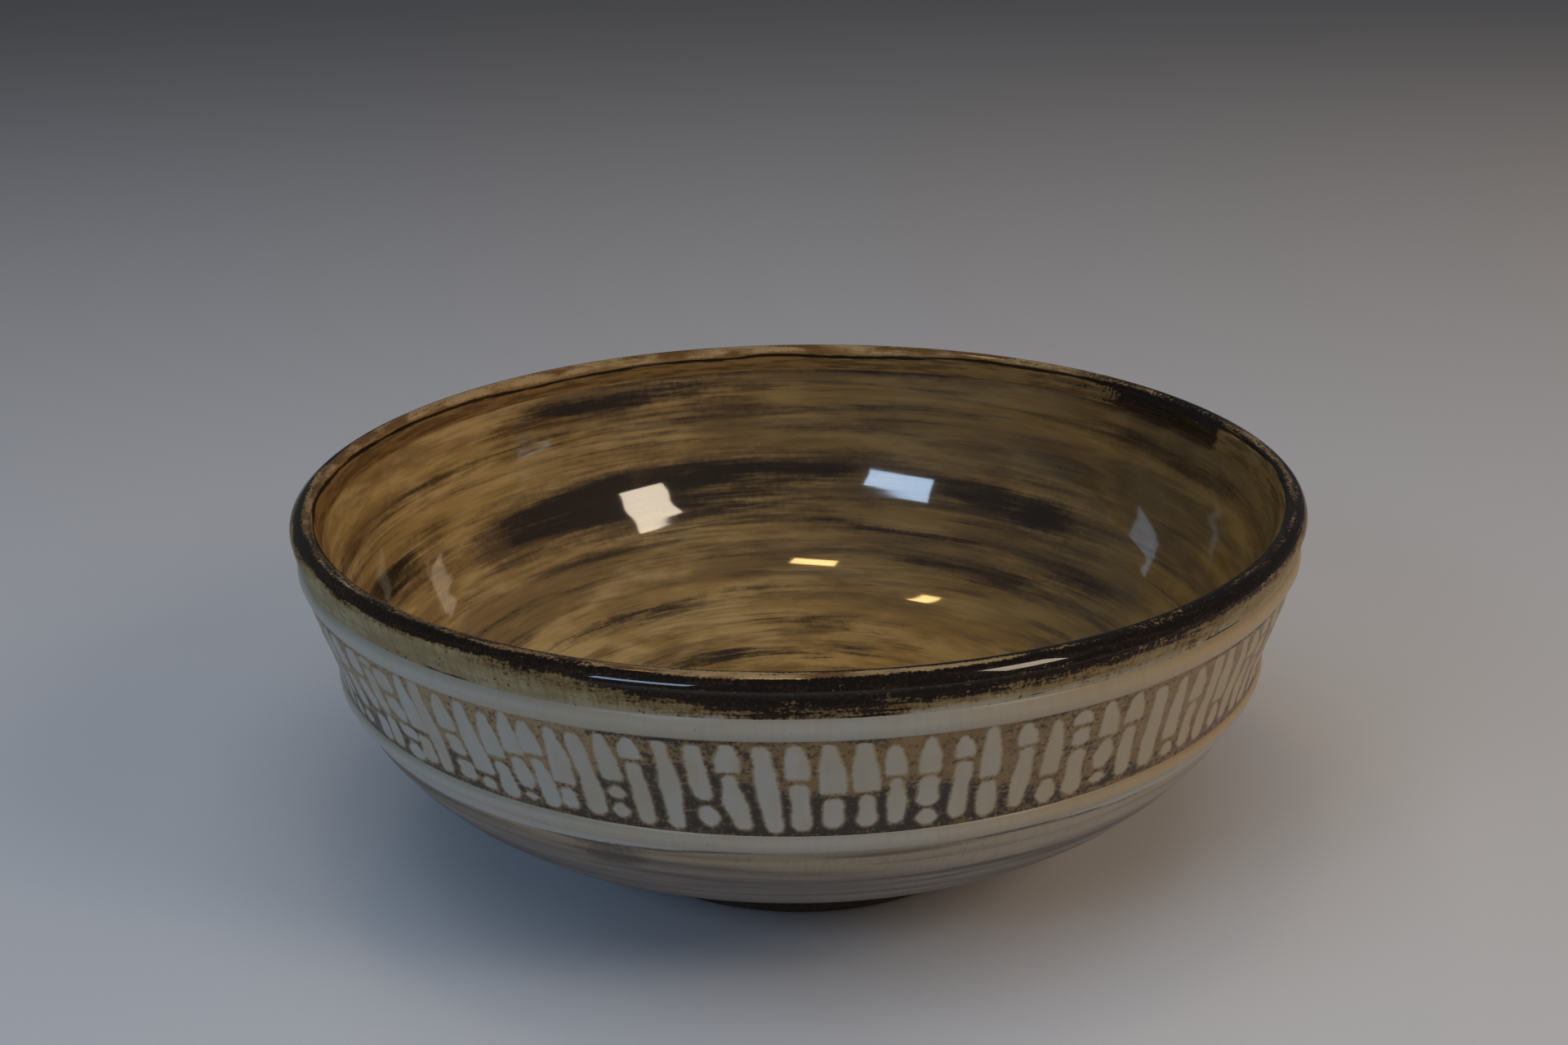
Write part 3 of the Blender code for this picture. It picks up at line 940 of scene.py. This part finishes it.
# ----------------------------------------------------------------- the inside
# Brush strokes: first and last angle in degrees, which grow with the turn of
# the brush, depth down the inside from the lip in mm at each end, half width
# in mm at each end, and how heavily the brush was loaded.
STROKES = [
    (192, 226, 6.5, 4.0, 5.2, 2.0, 0.85),
    (213, 252, 14.5, 17.0, 1.2, 1.5, 0.62),
    (206, 233, 42.0, 44.5, 11.5, 5.0, 1.10),
    (170, 207, 40.0, 41.5, 4.5, 7.5, 0.95),
    (180, 205, 48.0, 50.0, 5.0, 7.0, 0.55),
    (131, 144, 46.0, 44.0, 8.5, 9.0, 1.05),
    (140, 158, 42.5, 42.0, 6.0, 3.5, 0.95),
    (134, 137, 34.0, 38.0, 2.0, 4.0, 0.80),
    (147, 174, 62.5, 60.5, 1.4, 1.2, 0.75),
    (249, 266, 38.0, 36.5, 5.0, 4.0, 0.95),
    (188, 246, 88.0, 93.0, 2.0, 1.6, 0.55),
    (150, 182, 109.0, 106.0, 2.5, 3.5, 0.45),
    (165, 215, 126.0, 121.0, 2.0, 3.0, 0.40),
    (118, 142, 66.0, 74.0, 3.5, 4.0, 0.60),
    (98, 130, 12.0, 9.0, 4.0, 3.0, 0.60),
    (276, 330, 22.0, 26.0, 4.0, 6.0, 0.80),
    (296, 352, 50.0, 47.0, 7.0, 4.0, 0.90),
    (5, 62, 30.0, 34.0, 6.0, 3.0, 0.85),
    (20, 84, 58.0, 62.0, 3.0, 8.0, 0.75),
    (320, 372, 86.0, 84.0, 2.0, 3.0, 0.55),
    (60, 118, 92.0, 88.0, 3.0, 2.0, 0.50)]


def stroke(turn, s, first, last, s0, s1, half0, half1, load):
    """One brush stroke, 1 at its heart and falling to 0 at its edges."""
    span = last - first
    along = ((turn - first + 40) % 360 - 40) / span
    t = np.clip(along, 0, 1)
    bend = s0 + (s1 - s0) * t + 1.2 * np.sin(np.pi * t)
    half = half0 + (half1 - half0) * t
    across = np.abs(s - bend) / half
    ends = smooth(along * span, -5.0, 6.0) * smooth(
        (1 - along) * span, -5.0, 6.0)
    return load * smooth(across, 1.45, 0.45) * ends


def inside_fields(phi, s, z):
    """Values for the inside: the strokes, painted warm light on the left side and
    painted olive shade on the right.
    """
    turn = np.degrees(phi)
    bent = s + 1.2 * wander(phi, 91, 3, 18)
    smear = np.zeros_like(s)
    brown = np.zeros_like(s)
    for first, last, s0, s1, half0, half1, load in STROKES:
        one = stroke(turn, bent, first, last, s0, s1, half0, half1, load)
        smear = np.maximum(smear, one)
        soft = stroke(turn, bent, first - 8, last + 8, s0 + 1, s1 + 1,
                      half0 * 1.9 + 1, half1 * 1.9 + 1, load)
        brown = np.maximum(brown, soft)
    lip_line = np.exp(-((s + 0.5) / 2.0) ** 2)
    smear = np.maximum(smear, lip_line * (0.35 + 0.6 * smooth(
        turn, 150, 158) * smooth(turn, 194, 186)))
    smear = np.maximum(smear, 1.5 * loaded_stroke(phi) * smooth(s, 2.4, 0.4))
    # Painted warm light: the left side of the inside, which faces the warm key, is
    # painted more orange.
    painted_warm_light = 0.5 - 0.5 * np.cos(phi + 0.5 * np.pi)        # the left side
    # Painted shade: the right side of the inside, turned away from the warm key, is
    # painted darker and olive.
    shaded_side = np.clip(0.5 + 0.5 * np.cos(phi - math.radians(98)), 0, 1) ** 1.3
    shade = shaded_side * smooth(s, 130, 70) * (0.76 + 0.24 * wander(phi, 92, 2, 9))
    return {"smear": smear, "brown": 0.75 * brown, "painted_warm_light": painted_warm_light,
            "shade": np.clip(shade, 0, 1)}


inside_line = spline(INSIDE, 1.3)
interior = turned("interior", inside_line, around=600, sheets=4,
                  relief=lambda phi, s, z: throwing_marks(
                      phi, s, pitch=10.0, height=0.035, seed=73) * smooth(s, 2, 10)
                  * smooth(s, 200, 150),
                  fields=inside_fields)
interior.data.materials.append(inside_glaze())
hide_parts("inner_glaze")


# -------------------------------------------------------------------- setting
FLOOR_HALF = 12.0
FLOOR_GAP = 0.0003               # keeps the sheet clear of the foot's face
FLOOR_PALE = (0.82, 0.83, 0.86)
AIM_HEIGHT = 0.08                # the point on the axis that the lights face


def pale_floor():
    """A broad, plain, pale sheet for the bowl to stand on."""
    half = FLOOR_HALF
    mesh = bpy.data.meshes.new("floor")
    mesh.from_pydata([(-half, -half, 0), (half, -half, 0), (half, half, 0),
                      (-half, half, 0)], [], [(0, 1, 2, 3)])
    floor = bpy.data.objects.new("floor", mesh)
    floor.location.z = -FLOOR_GAP
    bpy.context.scene.collection.objects.link(floor)
    g = Glaze("floor", Roughness=0.6, Specular_IOR_Level=0.25)
    g.set("Base Color", FLOOR_PALE)
    mesh.materials.append(g.material)


def softbox(name, azimuth, elevation, distance, width, height, radiance,
            colour, glossy):
    """An area light aimed at the bowl.  Azimuth runs as on the bowl."""
    light = bpy.data.lights.new(name, "AREA")
    light.shape = "RECTANGLE"
    light.size, light.size_y = width, height
    light.energy = radiance * width * height * math.pi
    light.color = colour
    lamp = bpy.data.objects.new(name, light)
    turn, rise = math.radians(azimuth), math.radians(elevation)
    lamp.matrix_world = (Matrix.Translation((0, 0, AIM_HEIGHT))
                         @ Matrix.Rotation(turn, 4, "Z")
                         @ Matrix.Rotation(math.pi / 2 - rise, 4, "X")
                         @ Matrix.Translation((0, 0, distance)))
    bpy.context.scene.collection.objects.link(lamp)
    lamp.visible_glossy = glossy


pale_floor()
WARM_LIGHT, COOL_LIGHT = (1.0, 0.86, 0.68), (0.56, 0.75, 1.0)
LAMP_LIGHT, OVERHEAD_LIGHT = (1.0, 0.66, 0.28), (0.86, 0.93, 1.0)
WARM_GLOW, COOL_GLOW = (1.0, 0.72, 0.48), (0.38, 0.64, 1.0)
# name, azimuth, elevation, distance, width, height (m), radiance, colour, and
# whether it shows in the glaze
SOFTBOXES = [
    ("key_warm", 50, 34, 1.6, 0.36, 0.44, 5.2, WARM_LIGHT, True),
    ("window_cool", -33, 30, 1.6, 0.52, 0.27, 5.0, COOL_LIGHT, True),
    ("lamp_a", -18, 81, 1.8, 0.26, 0.09, 9.0, LAMP_LIGHT, True),
    ("lamp_b", -140, 67, 1.8, 0.13, 0.09, 8.0, LAMP_LIGHT, True),
    ("overhead", -8, 68, 1.5, 1.3, 1.3, 1.05, OVERHEAD_LIGHT, False),
    ("glow_right", 88, 24, 2.0, 2.4, 1.5, 0.74, WARM_GLOW, False),
    ("glow_left", -84, 22, 2.0, 2.2, 1.4, 0.50, COOL_GLOW, False)]
for box in SOFTBOXES:
    softbox(*box)

ROOM, ROOM_LIGHT = (0.92, 0.94, 1.0), 0.06
EXPOSURE, CONTRAST = 0.26, 0.88
world = bpy.data.worlds.new("room")
world.use_nodes = True
sky = world.node_tree.nodes["Background"].inputs
sky["Color"].default_value = ROOM + (1.0,)
sky["Strength"].default_value = ROOM_LIGHT
bpy.context.scene.world = world
view = bpy.context.scene.view_settings
view.view_transform = "Standard"
view.exposure, view.gamma = EXPOSURE, CONTRAST

LENS_MM, SENSOR_MM = 46.14, 36.0
CAMERA_AT = (0.0, -0.6134, 0.3288)
CAMERA_TURN, CAMERA_DOWN, CAMERA_ROLL = 0.4154, 20.144, -1.085     # degrees
camera_data = bpy.data.cameras.new("camera")
camera_data.lens = LENS_MM
camera_data.sensor_width = SENSOR_MM
camera = bpy.data.objects.new("camera", camera_data)
bpy.context.scene.collection.objects.link(camera)
camera.matrix_world = (Matrix.Translation(CAMERA_AT)
                       @ Matrix.Rotation(math.radians(CAMERA_TURN), 4, "Z")
                       @ Matrix.Rotation(math.radians(90 - CAMERA_DOWN), 4, "X")
                       @ Matrix.Rotation(math.radians(CAMERA_ROLL), 4, "Z"))
bpy.context.scene.camera = camera
